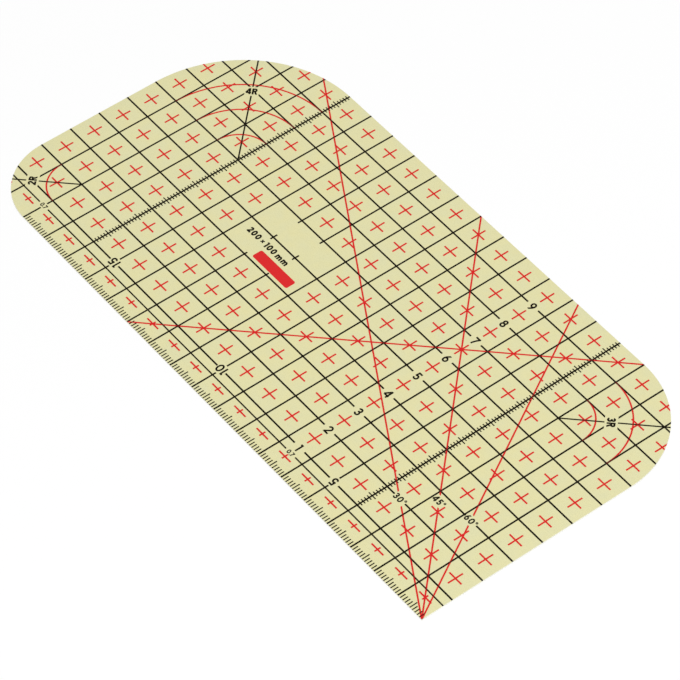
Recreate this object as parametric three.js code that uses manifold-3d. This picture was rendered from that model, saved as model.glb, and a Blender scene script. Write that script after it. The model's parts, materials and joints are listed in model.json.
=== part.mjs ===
// Hem ruler for use under an iron: a thin heat-proof sheet with a printed centimetre grid,
// angle lines from its square corner and corner curves of three radii.
// Millimetres, +Z up. The sheet lies on z = 0 with its middle at x = 0, y = 0, its long side along X
// and the printed side up. The square corner, where all scales start, is at +X, -Y.

import * as THREE from 'three';
import { mergeVertices } from 'three/addons/utils/BufferGeometryUtils.js';
import Module from 'manifold-3d';

const wasm = await Module();
wasm.setup();

// Sheet: its sides and its corner radii are whole steps of the centimetre grid that it carries
const gridPitch = 10;
const sheetColumns = 20;
const sheetRows = 10;
const sheetThickness = 0.5;
const corners = {
  small: { steps: 2, x: -1, y: -1 },
  middle: { steps: 3, x: 1, y: 1 },
  large: { steps: 4, x: -1, y: 1 },
};
const cornerFacets = 24;

// Ink: the red coat is printed last and bridges the black lines that it crosses
const blackInkThickness = 0.02;
const redInkThickness = 0.02;
const bridgeClearance = 0.005;
const bridgeSideClearance = 0.06;

// Black lines: columns and rows are counted from the square corner, and the hem line in ticks
const gridLineWidth = 0.52;
const hemLineWidth = 0.44;
const diagonalWidth = 0.45;
const ticksPerStep = 10;
const hemLineTicks = 7;

// Millimetre ladders on two of the cross lines
const ladderColumns = [4, 16];
const ticksPerLongTick = 5;
const tickWidth = 0.35;
const shortTickReach = 0.92;
const longTickReach = 1.45;

// Red lines and curves
const angleLineWidth = 0.45;
const angles = [30, 45, 60];
const counterLineColumn = 13;
const arcLineWidth = 0.45;
const arcFacets = 18;

// Figures: cap heights, pen widths and, as shares of the cap height, the gaps between them
const numeralHeight = 2.85;
const numeralPen = 0.54;
const angleLabelHeight = 2.1;
const angleLabelPen = 0.44;
const radiusLabelHeight = 2.4;
const radiusLabelPen = 0.56;
const allowanceLabelHeight = 1.45;
const allowanceLabelPen = 0.31;
const noteHeight = 2.15;
const notePen = 0.55;
const letterGap = 0.15;
const radiusLetterGap = 0.09;
const wordGap = 0.2;
const curveFacets = 24;
const sharpestMitre = 0.5;

// Where the figures stand, in columns and rows, with small shifts in millimetres
const numeralColumn = 6.5;
const numeralDrop = 0.2;
const edgeNumeralStep = 5;
const angleLabelRows = { 30: 2, 45: 2.75, 60: 3 };
const radiusLabelSteps = { small: 1, middle: 1, large: 2 };
const radiusLabelShift = { small: 0, middle: 0, large: 0.9 };

// Lines are interrupted around the figures: clear space beside each label, and above and below it
const numeralClearance = [1.27, 0.37];
const edgeNumeralClearance = [0.2, 0.42];
const angleLabelClearance = [0.14, 0.48];
const radiusLabelClearance = [0.38, 0.6];
const allowanceLabelClearance = [0.77, 0.37];
const noteClearance = [0.3, 0.3];

// Name panel: its cells hold no print but the size note and a plain bar
const panelColumns = [11, 14];
const panelRows = [4, 6];
const panelUpperStub = 1.4;
const panelLowerStub = 1;
const noteInset = 3.1;
const noteGap = 1.17;
const barInset = 2.5;
const barRise = 1.2;
const barLength = 15.6;
const barHeight = 3.4;
const barCornerRadius = 0.6;
const barCornerFacets = 4;

// Cutters reach this far above and below the ink, and points closer than this are one point
const cutterReach = 1;
const weldDistance = 1e-6;

const sheetMaterial = new THREE.MeshStandardMaterial({
  color: 0xe1dfae,
  roughness: 0.82,
  metalness: 0,
});
const blackInk = new THREE.MeshStandardMaterial({ color: 0x1f1c15, roughness: 0.6, metalness: 0 });
const redInk = new THREE.MeshStandardMaterial({ color: 0xd9252c, roughness: 0.6, metalness: 0 });

// Places: u runs along the scale edge and v across it, both from the square corner
const sheetLength = sheetColumns * gridPitch;
const sheetWidth = sheetRows * gridPitch;
const xAt = (u) => sheetLength / 2 - u;
const yAt = (v) => v - sheetWidth / 2;
const squareCorner = new THREE.Vector2(xAt(0), yAt(0));

/** Centre of a round corner's curve. */
function curveCentre({ steps, x, y }) {
  const radius = steps * gridPitch;
  return new THREE.Vector2(x * (sheetLength / 2 - radius), y * (sheetWidth / 2 - radius));
}

/** Crossing of the grid, or a place between its lines, from a column and a row. */
function gridPlace(column, row) {
  return new THREE.Vector2(xAt(column * gridPitch), yAt(row * gridPitch));
}

/** Turns a closed geometry into a solid that can be joined and cut. */
function solidOf(geometry) {
  geometry.deleteAttribute('normal');
  geometry.deleteAttribute('uv');
  const merged = mergeVertices(geometry, weldDistance);
  const vertProperties = new Float32Array(merged.attributes.position.array);
  const triVerts = new Uint32Array(merged.index.array);
  return new wasm.Manifold(new wasm.Mesh({ numProp: 3, vertProperties, triVerts }));
}

/** Flat plate of a shape, standing on z with the given height. */
function plate(shape, height, z = 0) {
  const geometry = new THREE.ExtrudeGeometry(shape, { depth: height, bevelEnabled: false, steps: 1 });
  geometry.translate(0, 0, z);
  return solidOf(geometry);
}

/** Straight line of ink between two points, from its foot up to its top. */
function strip(from, to, width, top, foot = 0) {
  const reach = to.clone().sub(from);
  const geometry = new THREE.BoxGeometry(reach.length(), width, top - foot);
  geometry.rotateZ(reach.angle());
  geometry.translate((from.x + to.x) / 2, (from.y + to.y) / 2, (top + foot) / 2);
  return solidOf(geometry);
}

/** Box around a middle point, for windows that stay clear of ink. */
function windowAt(centre, [halfWidth, halfHeight], turn = 0) {
  const geometry = new THREE.BoxGeometry(2 * halfWidth, 2 * halfHeight, 2 * cutterReach);
  geometry.rotateZ(turn);
  geometry.translate(centre.x, centre.y, 0);
  return solidOf(geometry);
}

/** Joins solids in pairs, so that the pieces stay small for as long as they can. */
function join(solids) {
  let row = solids;
  while (row.length > 1) {
    const next = [];
    for (let i = 0; i < row.length; i += 2) {
      next.push(i + 1 < row.length ? row[i].add(row[i + 1]) : row[i]);
    }
    row = next;
  }
  return row[0];
}

/** Geometry of some of a mesh's triangles, without the points that they leave unused. */
function geometryOf(vertices, triangles) {
  const geometry = new THREE.BufferGeometry();
  geometry.setAttribute('position', new THREE.BufferAttribute(vertices, 3));
  geometry.setIndex(new THREE.BufferAttribute(Uint32Array.from(triangles), 1));
  return mergeVertices(geometry.toNonIndexed(), weldDistance);
}

/** Geometry of a solid that is one body. */
function bodyOf(solid) {
  const { vertProperties, triVerts } = solid.getMesh();
  return geometryOf(vertProperties, triVerts);
}

/** Splits a solid into its separate bodies, the nearest to the square corner first. */
function bodiesOf(solid) {
  const { vertProperties, triVerts } = solid.getMesh();
  const parent = Array.from({ length: vertProperties.length / 3 }, (_, i) => i);
  const root = (i) => {
    let top = i;
    while (parent[top] !== top) top = parent[top];
    parent[i] = top;
    return top;
  };
  for (let t = 0; t < triVerts.length; t += 3) {
    parent[root(triVerts[t + 1])] = root(triVerts[t]);
    parent[root(triVerts[t + 2])] = root(triVerts[t]);
  }
  const groups = new Map();
  for (let t = 0; t < triVerts.length; t += 3) {
    const key = root(triVerts[t]);
    if (!groups.has(key)) groups.set(key, []);
    groups.get(key).push(triVerts[t], triVerts[t + 1], triVerts[t + 2]);
  }
  const distance = (geometry) => {
    geometry.computeBoundingBox();
    const { x, y } = geometry.boundingBox.getCenter(new THREE.Vector3());
    return squareCorner.distanceTo(new THREE.Vector2(x, y));
  };
  return [...groups.values()]
    .map((triangles) => geometryOf(vertProperties, triangles))
    .sort((a, b) => distance(a) - distance(b));
}

/** Named mesh of a piece. */
function meshOf(name, geometry, material) {
  const mesh = new THREE.Mesh(geometry, material);
  mesh.name = name;
  return mesh;
}

/** Outline of the sheet: square at +X -Y, round at the other three corners. */
function outlineShape() {
  const shape = new THREE.Shape();
  const arcTo = (corner, start) => {
    const { x, y } = curveCentre(corner);
    const radius = corner.steps * gridPitch;
    for (let i = 0; i <= cornerFacets; i += 1) {
      const angle = start + (i / cornerFacets) * (Math.PI / 2);
      shape.lineTo(x + radius * Math.cos(angle), y + radius * Math.sin(angle));
    }
  };
  shape.moveTo(squareCorner.x, squareCorner.y);
  arcTo(corners.middle, 0);
  arcTo(corners.large, Math.PI / 2);
  arcTo(corners.small, Math.PI);
  shape.lineTo(squareCorner.x, squareCorner.y);
  return shape;
}

// Figures are drawn with a pen of one width. A glyph lies on its base line, in a box one unit high.
// Each stroke is a list of points; one that returns to its start is an oval.

/** Points on an ellipse, from one angle to another in degrees. */
function bow(cx, cy, rx, ry, from, to) {
  const steps = Math.max(2, Math.round((curveFacets * Math.abs(to - from)) / 360));
  return Array.from({ length: steps + 1 }, (_, i) => {
    const angle = THREE.MathUtils.degToRad(from + ((to - from) * i) / steps);
    return [cx + rx * Math.cos(angle), cy + ry * Math.sin(angle)];
  });
}

const digitWidth = 0.62;
const noughtWidth = 0.7;

/** Width and strokes of each glyph, for a pen of the given width. */
const glyphs = {
  0: (pen) => {
    const [mid, rx, ry] = [noughtWidth / 2, (noughtWidth - pen) / 2, (1 - pen) / 2];
    return { width: noughtWidth, strokes: [bow(mid, 0.5, rx, ry, 0, 360)] };
  },
  1: (pen) => {
    const stem = 0.12 + pen / 2;
    return { width: 0.12 + pen, strokes: [[[stem, 0], [stem, 1]], [[0, 0.94], [stem, 0.86]]] };
  },
  2: (pen) => {
    const [mid, r] = [digitWidth / 2, (digitWidth - pen) / 2];
    const crown = bow(mid, 1 - pen / 2 - r, r, r, 175, -38);
    const foot = [[0, pen / 2], [digitWidth, pen / 2]];
    return { width: digitWidth, strokes: [[...crown, [pen / 2, pen / 2]], foot] };
  },
  3: (pen) => {
    const mid = digitWidth / 2;
    const [low, high] = [(1 - pen) * 0.265, (1 - pen) * 0.235];
    const waist = pen / 2 + 2 * low;
    return {
      width: digitWidth,
      strokes: [
        bow(mid, waist + high, mid - pen / 2 - 0.02, high, 165, -90),
        bow(mid, pen / 2 + low, mid - pen / 2, low, 90, -165),
        [[mid - 0.1, waist], [mid + 0.04, waist]],
      ],
    };
  },
  4: (pen) => {
    const stem = digitWidth - 0.06 - pen / 2;
    return {
      width: digitWidth,
      strokes: [[[stem, 0], [stem, 1]], [[0, 0.28], [digitWidth, 0.28]], [[0, 0.26], [stem, 0.98]]],
    };
  },
  5: (pen) => {
    const [mid, low] = [digitWidth / 2, (1 - pen) * 0.29];
    return {
      width: digitWidth,
      strokes: [
        bow(mid, pen / 2 + low, mid - pen / 2, low, 148, -160),
        [[0.09, 1 - pen / 2], [digitWidth - 0.04, 1 - pen / 2]],
        [[0.09 + pen / 2, 1], [0.045 + pen / 2, pen / 2 + 1.5 * low]],
      ],
    };
  },
  6: (pen) => {
    const [mid, rx, low] = [digitWidth / 2, (digitWidth - pen) / 2, (1 - pen) * 0.3];
    return {
      width: digitWidth,
      strokes: [
        bow(mid, pen / 2 + low, rx, low, 0, 360),
        [[0.46, 1.02], [0.2, 0.68], [0.015 + pen / 2, 0.47], [pen / 2, pen / 2 + low]],
      ],
    };
  },
  7: (pen) => ({
    width: digitWidth,
    strokes: [
      [[0, 1 - pen / 2], [digitWidth, 1 - pen / 2]],
      [[digitWidth - pen / 2, 1 - pen / 2], [0.36, 0.58], [0.24, 0.25], [0.2, 0]],
    ],
  }),
  8: (pen) => {
    const mid = digitWidth / 2;
    const [low, high] = [(1 - pen) * 0.265, (1 - pen) * 0.235];
    return {
      width: digitWidth,
      strokes: [
        bow(mid, pen / 2 + low, mid - pen / 2, low, 0, 360),
        bow(mid, 1 - pen / 2 - high, mid - pen / 2 - 0.03, high, 0, 360),
      ],
    };
  },
  9: (pen) => {
    const six = glyphs[6](pen);
    const turned = six.strokes.map((stroke) => stroke.map(([x, y]) => [digitWidth - x, 1 - y]));
    return { width: digitWidth, strokes: turned };
  },
  R: (pen) => {
    const [top, waist, turn] = [1 - pen / 2, 0.41 + pen / 2, 0.38];
    const rise = (top - waist) / 2;
    return {
      width: 0.7,
      strokes: [
        [[pen / 2, 0], [pen / 2, 1]],
        [[0, top], ...bow(turn, waist + rise, 0.65 - pen / 2 - turn, rise, 90, -90), [0, waist]],
        [[turn - 0.04, waist], [0.7 - pen / 2, -0.05]],
      ],
    };
  },
  m: (pen) => {
    const [r, spring] = [0.19, 0.72 - pen / 2 - 0.19];
    const arch = (x) => [...bow(x + r, spring, r, r, 180, 0), [x + 2 * r, 0]];
    return {
      width: 4 * r + pen,
      strokes: [[[pen / 2, 0], [pen / 2, 0.72]], arch(pen / 2), arch(pen / 2 + 2 * r)],
    };
  },
  times: (pen) => ({
    width: 0.54,
    pen: pen * 0.7,
    strokes: [[[0.06, 0.24], [0.48, 0.66]], [[0.06, 0.66], [0.48, 0.24]]],
  }),
  degree: (pen) => ({
    width: 0.36,
    pen: pen * 0.6,
    strokes: [bow(0.18, 0.82, 0.18 - pen * 0.3, 0.18 - pen * 0.3, 0, 360)],
  }),
};

/** An oval stroke as a plate: the oval grown and shrunk by half the pen. */
function ovalPlate(path, pen, height) {
  const box = new THREE.Box2().setFromPoints(path);
  const centre = box.getCenter(new THREE.Vector2());
  const size = box.getSize(new THREE.Vector2());
  const grown = (reach) => {
    const factor = new THREE.Vector2(1 + reach / size.x, 1 + reach / size.y);
    return path.map((point) => point.clone().sub(centre).multiply(factor).add(centre));
  };
  const shape = new THREE.Shape(grown(pen));
  shape.holes.push(new THREE.Path(grown(-pen)));
  return plate(shape, height);
}

/** One pen stroke as a plate: its points are moved sideways by half the pen on both sides. */
function strokePlate(points, pen, height) {
  const path = points.map(([x, y]) => new THREE.Vector2(x, y));
  if (path[0].distanceTo(path[path.length - 1]) < weldDistance) {
    return ovalPlate(path.slice(1), pen, height);
  }
  const side = path.map((point, i) => {
    const before = point.clone().sub(path[Math.max(i - 1, 0)]).normalize();
    const after = path[Math.min(i + 1, path.length - 1)].clone().sub(point).normalize();
    const along = before.clone().add(after).normalize();
    const half = before.lengthSq() && after.lengthSq() ? along.dot(before) : 1;
    return new THREE.Vector2(-along.y, along.x).multiplyScalar(pen / 2 / Math.max(half, sharpestMitre));
  });
  const left = path.map((point, i) => point.clone().add(side[i]));
  const right = path.map((point, i) => point.clone().sub(side[i]));
  return plate(new THREE.Shape([...left, ...right.reverse()]), height);
}

/** A glyph at its real size, standing at the origin, cut off flat at the base and cap lines. */
function glyphGeometry(key, { cap, pen }) {
  const glyph = glyphs[key](pen / cap);
  const glyphPen = glyph.pen ?? pen / cap;
  const frame = new THREE.BoxGeometry(glyph.width + 2, 1, 2 * cutterReach);
  frame.translate(glyph.width / 2, 0.5, 0);
  const inked = join(glyph.strokes.map((stroke) => strokePlate(stroke, glyphPen, blackInkThickness)));
  return bodyOf(inked.intersect(solidOf(frame))).scale(cap, cap, 1);
}

/** Left ends of the glyphs in a row, and the row's width. */
function spacing(keys, { cap, pen, gap = letterGap }) {
  const starts = [];
  let reach = 0;
  for (const key of keys) {
    starts.push(reach);
    reach += key === ' ' ? wordGap * cap : (glyphs[key](pen / cap).width + gap) * cap;
  }
  return { starts, width: reach - gap * cap };
}

/** A row of glyphs as one mesh each, in a group whose middle is at the origin. */
function label(name, keys, style) {
  const group = new THREE.Group();
  const { starts, width } = spacing(keys, style);
  keys.forEach((key, i) => {
    if (key === ' ') return;
    const meshName = keys.length > 1 ? `${name}_${group.children.length + 1}` : name;
    const mesh = meshOf(meshName, glyphGeometry(key, style), blackInk);
    mesh.position.set(starts[i] - width / 2, -style.cap / 2, 0);
    group.add(mesh);
  });
  return group;
}

/** Windows of one size around a family's labels, to fit the widest of them. */
function windowsAround({ style, labels }) {
  const widest = Math.max(...labels.map(({ keys }) => spacing(keys, style).width));
  const half = [widest / 2 + style.clearance[0], style.cap / 2 + style.clearance[1]];
  return labels.map(({ at, turn = 0 }) => windowAt(at, half, turn));
}

const rows = Array.from({ length: sheetRows - 1 }, (_, i) => i + 1);
const columns = Array.from({ length: sheetColumns - 1 }, (_, i) => i + 1);
const hemRow = hemLineTicks / ticksPerStep;
const [panelRight, panelLeft] = panelColumns.map((column) => xAt(column * gridPitch));
const [panelLow, panelHigh] = panelRows.map((row) => yAt(row * gridPitch));

// Families of labels: one style, and for each label its figures and the middle of its window

const widthNumerals = {
  style: { cap: numeralHeight, pen: numeralPen, clearance: numeralClearance },
  labels: rows.map((row) => ({
    name: `width_${row}`,
    keys: [...String(row)],
    at: gridPlace(numeralColumn, row),
    drop: numeralDrop,
  })),
};

const edgeNumerals = {
  style: { cap: numeralHeight, pen: numeralPen, clearance: edgeNumeralClearance },
  labels: columns
    .filter((column) => column % edgeNumeralStep === 0)
    .map((column) => ({
      name: `edge_${column}`,
      keys: [...String(column)],
      at: gridPlace(column, 1),
      turn: Math.PI,
    })),
};

const angleLabels = {
  style: { cap: angleLabelHeight, pen: angleLabelPen, clearance: angleLabelClearance },
  labels: angles.map((angle) => {
    const row = angleLabelRows[angle];
    const column = row / Math.tan(THREE.MathUtils.degToRad(angle));
    return { name: `angle_${angle}`, keys: [...String(angle), 'degree'], at: gridPlace(column, row) };
  }),
};

const radiusLabels = {
  style: {
    cap: radiusLabelHeight,
    pen: radiusLabelPen,
    gap: radiusLetterGap,
    clearance: radiusLabelClearance,
  },
  labels: Object.entries(corners).map(([corner, { steps, x, y }]) => {
    const outward = new THREE.Vector2(x, y);
    const at = curveCentre(corners[corner]);
    at.addScaledVector(outward, radiusLabelSteps[corner] * gridPitch);
    at.addScaledVector(outward.normalize(), -radiusLabelShift[corner]);
    const turn = outward.angle() - Math.PI / 2;
    return { name: `radius_${corner}`, keys: [...String(steps), 'R'], at, turn };
  }),
};

const allowanceLabels = {
  style: { cap: allowanceLabelHeight, pen: allowanceLabelPen, clearance: allowanceLabelClearance },
  labels: [numeralColumn, sheetColumns - corners.small.steps].map((column, i) => ({
    name: `allowance_${i + 1}`,
    keys: ['0', ' ', String(hemLineTicks)],
    at: gridPlace(column, hemRow),
  })),
};

const noteStyle = { cap: noteHeight, pen: notePen, clearance: noteClearance };
const [lengthDigits, widthDigits] = [sheetLength, sheetWidth].map((side) => String(Math.round(side)));
const noteKeys = [...lengthDigits, ' ', 'times', ' ', ...widthDigits, ' ', 'm', 'm'];
const sizeNote = {
  style: noteStyle,
  labels: [
    {
      name: 'note',
      keys: noteKeys,
      at: new THREE.Vector2(
        panelLeft + noteInset + spacing(noteKeys, noteStyle).width / 2,
        panelLow + barRise + barHeight + noteGap + noteHeight / 2,
      ),
    },
  ],
};

const families = [
  widthNumerals,
  edgeNumerals,
  angleLabels,
  radiusLabels,
  allowanceLabels,
  sizeNote,
];

/** Windows in the name panel, between the stubs of the lines that it interrupts. */
function panelWindows() {
  const middle = (panelLow + panelHigh) / 2;
  const bands = [
    [middle + panelUpperStub, panelHigh - panelUpperStub],
    [panelLow + panelLowerStub, middle - panelLowerStub],
  ];
  return bands.map(([low, high]) => {
    const centre = new THREE.Vector2((panelLeft + panelRight) / 2, (low + high) / 2);
    return windowAt(centre, [(panelRight - panelLeft - gridPitch) / 2, (high - low) / 2]);
  });
}

const sheetShape = outlineShape();

/** Cuts a print to the sheet's outline and clears its windows. */
function trimmed(print, windows) {
  return print.intersect(plate(sheetShape, 2 * cutterReach, -cutterReach)).subtract(windows);
}

/** Ticks of a ladder that fit between two heights: their place across the sheet and their reach. */
function ticksBetween(low, high, tickHalfWidth) {
  const ticks = [];
  for (let i = ticksPerStep; i < sheetRows * ticksPerStep; i += 1) {
    const y = yAt((i * gridPitch) / ticksPerStep);
    const reach = i % ticksPerLongTick === 0 ? longTickReach : shortTickReach;
    if (y - tickHalfWidth > low && y + tickHalfWidth < high) ticks.push({ y, reach });
  }
  return ticks;
}

/** Prism that cuts one cell out of the grid, with notches where the ticks of a ladder reach in. */
function cellCutter(lowCorner, highCorner, ladderSides, tickHalfWidth) {
  const [{ x: left, y: low }, { x: right, y: high }] = [lowCorner, highCorner];
  const ticks = ticksBetween(low, high, tickHalfWidth);
  const notches = (x, inward) =>
    ticks.flatMap(({ y, reach }) => {
      const tip = x + inward * (reach - gridLineWidth / 2);
      const [foot, top] = [y - tickHalfWidth, y + tickHalfWidth];
      return [[x, foot], [tip, foot], [tip, top], [x, top]];
    });
  const outline = [[left, low], [right, low]];
  if (ladderSides.right) outline.push(...notches(right, -1));
  outline.push([right, high], [left, high]);
  if (ladderSides.left) outline.push(...notches(left, 1).reverse());
  const shape = new THREE.Shape(outline.map(([x, y]) => new THREE.Vector2(x, y)));
  return plate(shape, 2 * cutterReach, -cutterReach);
}

/** Grid of lines and ladders: a plate with every cell cut out of it, its lines widened by a margin. */
function gridPlate(sideMargin, top, foot) {
  const outside = 0.5;
  const across = [-outside, ...columns, sheetColumns + outside];
  const along = [-outside, hemRow, ...rows, sheetRows + outside];
  const marginAt = (row) =>
    new THREE.Vector2(gridLineWidth, row === hemRow ? hemLineWidth : gridLineWidth)
      .multiplyScalar(1 / 2)
      .addScalar(sideMargin);
  const cells = [];
  for (let i = 1; i < across.length; i += 1) {
    const ladderSides = {
      right: ladderColumns.includes(across[i - 1]),
      left: ladderColumns.includes(across[i]),
    };
    for (let j = 1; j < along.length; j += 1) {
      const low = gridPlace(across[i], along[j - 1]).add(marginAt(along[j - 1]));
      const high = gridPlace(across[i - 1], along[j]).sub(marginAt(along[j]));
      cells.push(cellCutter(low, high, ladderSides, tickWidth / 2 + sideMargin));
    }
  }
  const [length, width] = [sheetLength + 2 * gridPitch, sheetWidth + 2 * gridPitch];
  const geometry = new THREE.BoxGeometry(length, width, top - foot);
  geometry.translate(0, 0, (top + foot) / 2);
  return solidOf(geometry).subtract(join(cells));
}

/** Black lines from their foot up to their top, wider by a margin where a passage is wanted. */
function blackLines(sideMargin, top, foot) {
  const diagonals = Object.values(corners).map((corner) => {
    const centre = curveCentre(corner);
    const beyond = new THREE.Vector2(corner.x, corner.y).multiplyScalar(corner.steps * gridPitch);
    return strip(centre, beyond.add(centre), diagonalWidth + 2 * sideMargin, top, foot);
  });
  return join([gridPlate(sideMargin, top, foot), ...diagonals]);
}

/** Room for a family's figures: a block around each label, from its foot up to its top. */
function roomForFigures({ style, labels }, sideMargin, top, foot) {
  return labels.map(({ keys, at, turn = 0, drop = 0 }) => {
    const width = spacing(keys, style).width + 2 * sideMargin;
    const geometry = new THREE.BoxGeometry(width, style.cap + 2 * sideMargin, top - foot);
    geometry.rotateZ(turn);
    geometry.translate(at.x, at.y - drop, (top + foot) / 2);
    return solidOf(geometry);
  });
}

const passageHeight = blackInkThickness + bridgeClearance;
const redHeight = passageHeight + redInkThickness;
const passageSize = [bridgeSideClearance, passageHeight, -passageHeight];
const passage = join([
  blackLines(...passageSize),
  ...families.flatMap((family) => roomForFigures(family, ...passageSize)),
]);

/** Red print that lies on the sheet and passes over the black one. */
function overBlack(print) {
  return trimmed(print, join(windowsAround(angleLabels))).subtract(passage);
}

/** The rays from the square corner and the line that runs against them. */
function redAngleLines() {
  const reach = Math.hypot(sheetLength, sheetWidth);
  const ray = (foot, angle) => {
    const turn = THREE.MathUtils.degToRad(angle);
    const along = new THREE.Vector2(Math.cos(turn), Math.sin(turn));
    const start = foot.clone().addScaledVector(along, -gridPitch);
    return strip(start, foot.clone().addScaledVector(along, reach), angleLineWidth, redHeight);
  };
  const rays = angles.map((angle) => ray(squareCorner, 180 - angle));
  return overBlack(join([...rays, ray(gridPlace(counterLineColumn, 0), 45)]));
}

/** Quarter curve of a round corner, drawn at a smaller radius about the same centre. */
function redArc(corner, radius) {
  const centre = curveCentre(corner);
  const middle = Math.atan2(corner.y, corner.x);
  const point = (r, i) => {
    const angle = middle + (i / arcFacets - 0.5) * (Math.PI / 2);
    return new THREE.Vector2(centre.x + r * Math.cos(angle), centre.y + r * Math.sin(angle));
  };
  const edge = (r) => Array.from({ length: arcFacets + 1 }, (_, i) => point(r, i));
  const [inner, outer] = [radius - arcLineWidth / 2, radius + arcLineWidth / 2];
  const shape = new THREE.Shape([...edge(inner).reverse(), ...edge(outer)]);
  return bodyOf(overBlack(plate(shape, redHeight)));
}

/** Plain bar with round corners, at the panel's lower right. */
function panelBar() {
  const r = barCornerRadius;
  const [right, foot] = [panelRight - barInset - r, panelLow + barRise + r];
  const [left, top] = [right - barLength + 2 * r, foot + barHeight - 2 * r];
  const shape = new THREE.Shape();
  shape.absarc(right, foot, r, -Math.PI / 2, 0, false);
  shape.absarc(right, top, r, 0, Math.PI / 2, false);
  shape.absarc(left, top, r, Math.PI / 2, Math.PI, false);
  shape.absarc(left, foot, r, Math.PI, 1.5 * Math.PI, false);
  return new THREE.ExtrudeGeometry(shape, {
    depth: redInkThickness,
    bevelEnabled: false,
    curveSegments: barCornerFacets,
  });
}

// Assembly

const ruler = new THREE.Group();
ruler.add(meshOf('base_sheet', bodyOf(plate(sheetShape, sheetThickness)), sheetMaterial));

const blackPrint = new THREE.Group();
const redPrint = new THREE.Group();
blackPrint.position.z = sheetThickness;
redPrint.position.z = sheetThickness;
ruler.add(blackPrint, redPrint);

const gridNames = ['grid_square_end', 'grid_main'];
const blackWindows = join([...families.flatMap(windowsAround), ...panelWindows()]);
bodiesOf(trimmed(blackLines(0, blackInkThickness, 0), blackWindows)).forEach((geometry, i) => {
  const name = gridNames[i] ?? `line_end_${i - gridNames.length + 1}`;
  blackPrint.add(meshOf(name, geometry, blackInk));
});

for (const { style, labels } of families) {
  for (const { name, keys, at, turn = 0, drop = 0 } of labels) {
    const figures = label(name, keys, style);
    figures.position.set(at.x, at.y - drop, 0);
    figures.rotation.z = turn;
    blackPrint.add(figures);
  }
}

const angleLineNames = ['angle_lines_corner', 'angle_lines_main'];
bodiesOf(redAngleLines()).forEach((geometry, i) => {
  redPrint.add(meshOf(angleLineNames[i] ?? `angle_line_end_${i - 1}`, geometry, redInk));
});
for (const [name, corner] of Object.entries(corners)) {
  for (let steps = 1; steps < corner.steps; steps += 1) {
    redPrint.add(meshOf(`arc_${name}_${steps}`, redArc(corner, steps * gridPitch), redInk));
  }
}
redPrint.add(meshOf('panel_bar', panelBar(), redInk));

export default ruler;
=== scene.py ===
"""Looks of the hem ruler: a thin, stiff, heat-proof sheet with black and red print.

Lengths are in metres in the part's own frame: X along the scale edge, Y across the sheet, Z up.
The sheet lies on z = 0 with its middle at x = 0, y = 0. The square corner is at +X, -Y.
"""

import json
import logging
import math
from collections.abc import Mapping, Sequence
from dataclasses import dataclass
from enum import Enum

import bpy
import numpy as np
from mathutils import Matrix, Vector


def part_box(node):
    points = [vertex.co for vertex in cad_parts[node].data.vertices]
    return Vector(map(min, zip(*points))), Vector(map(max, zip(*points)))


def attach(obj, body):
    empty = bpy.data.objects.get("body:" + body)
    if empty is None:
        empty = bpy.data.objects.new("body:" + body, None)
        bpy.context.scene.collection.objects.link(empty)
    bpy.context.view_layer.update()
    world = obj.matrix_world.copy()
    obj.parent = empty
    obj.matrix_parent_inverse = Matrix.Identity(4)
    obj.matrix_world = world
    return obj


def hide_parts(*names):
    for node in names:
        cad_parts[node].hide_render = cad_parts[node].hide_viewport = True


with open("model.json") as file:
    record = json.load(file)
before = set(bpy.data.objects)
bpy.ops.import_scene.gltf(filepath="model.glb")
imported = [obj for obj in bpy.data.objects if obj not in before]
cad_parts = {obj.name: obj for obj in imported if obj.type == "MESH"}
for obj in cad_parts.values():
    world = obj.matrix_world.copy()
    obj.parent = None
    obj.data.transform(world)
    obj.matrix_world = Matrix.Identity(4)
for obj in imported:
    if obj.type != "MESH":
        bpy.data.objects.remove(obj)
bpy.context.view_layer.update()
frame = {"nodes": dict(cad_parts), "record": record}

MM = 0.001
INK_COAT = 0.02 * MM
BODY = "root"
LOG = logging.getLogger("hem_ruler")

# Sockets of a Mix node: its factor, its colour inputs and output, its float inputs and output
MIX_FACTOR = 0
MIX_A, MIX_B, MIX_RESULT = 6, 7, 2
MIX_FLOAT_A, MIX_FLOAT_B, MIX_FLOAT_RESULT = 2, 3, 0


class Slot(Enum):
    """Material slots of the record."""

    SHEET = "sheet"
    BLACK_INK = "black_ink"
    RED_INK = "red_ink"


def linear(colour: str) -> tuple[float, float, float, float]:
    """Turns an sRGB colour into linear light.

    Args:
        colour: Six hex digits after a hash.

    Returns:
        Red, green, blue and a full alpha.
    """
    srgb = [int(colour[i : i + 2], 16) / 255 for i in (1, 3, 5)]
    red, green, blue = (c / 12.92 if c <= 0.04045 else ((c + 0.055) / 1.055) ** 2.4 for c in srgb)
    return red, green, blue, 1.0


def add_node(
    tree: bpy.types.NodeTree,
    kind: str,
    settings: Mapping[str, object] | None = None,
    inputs: Mapping[str | int, object] | None = None,
) -> bpy.types.Node:
    """Adds a node with its settings and links.

    Args:
        tree: Node tree that takes the node.
        kind: Blender's name of the node type.
        settings: Values of the node's own properties.
        inputs: A socket to link or a value to set, for each input by name or number.

    Returns:
        The new node.
    """
    node = tree.nodes.new(kind)
    for name, value in (settings or {}).items():
        setattr(node, name, value)
    for key, value in (inputs or {}).items():
        if isinstance(value, bpy.types.NodeSocket):
            tree.links.new(value, node.inputs[key])
        else:
            node.inputs[key].default_value = value
    return node


def new_material(name: str) -> tuple[bpy.types.Material, bpy.types.NodeTree]:
    """Makes a material with an empty node tree.

    Args:
        name: Name of the real material.

    Returns:
        The material and its tree.
    """
    material = bpy.data.materials.new(name)
    material.use_nodes = True
    material.node_tree.nodes.clear()
    return material, material.node_tree


def noise_size(length: float) -> float:
    """Noise scale at which one blotch is about as wide as the given length in metres."""
    return 1 / length


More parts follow.
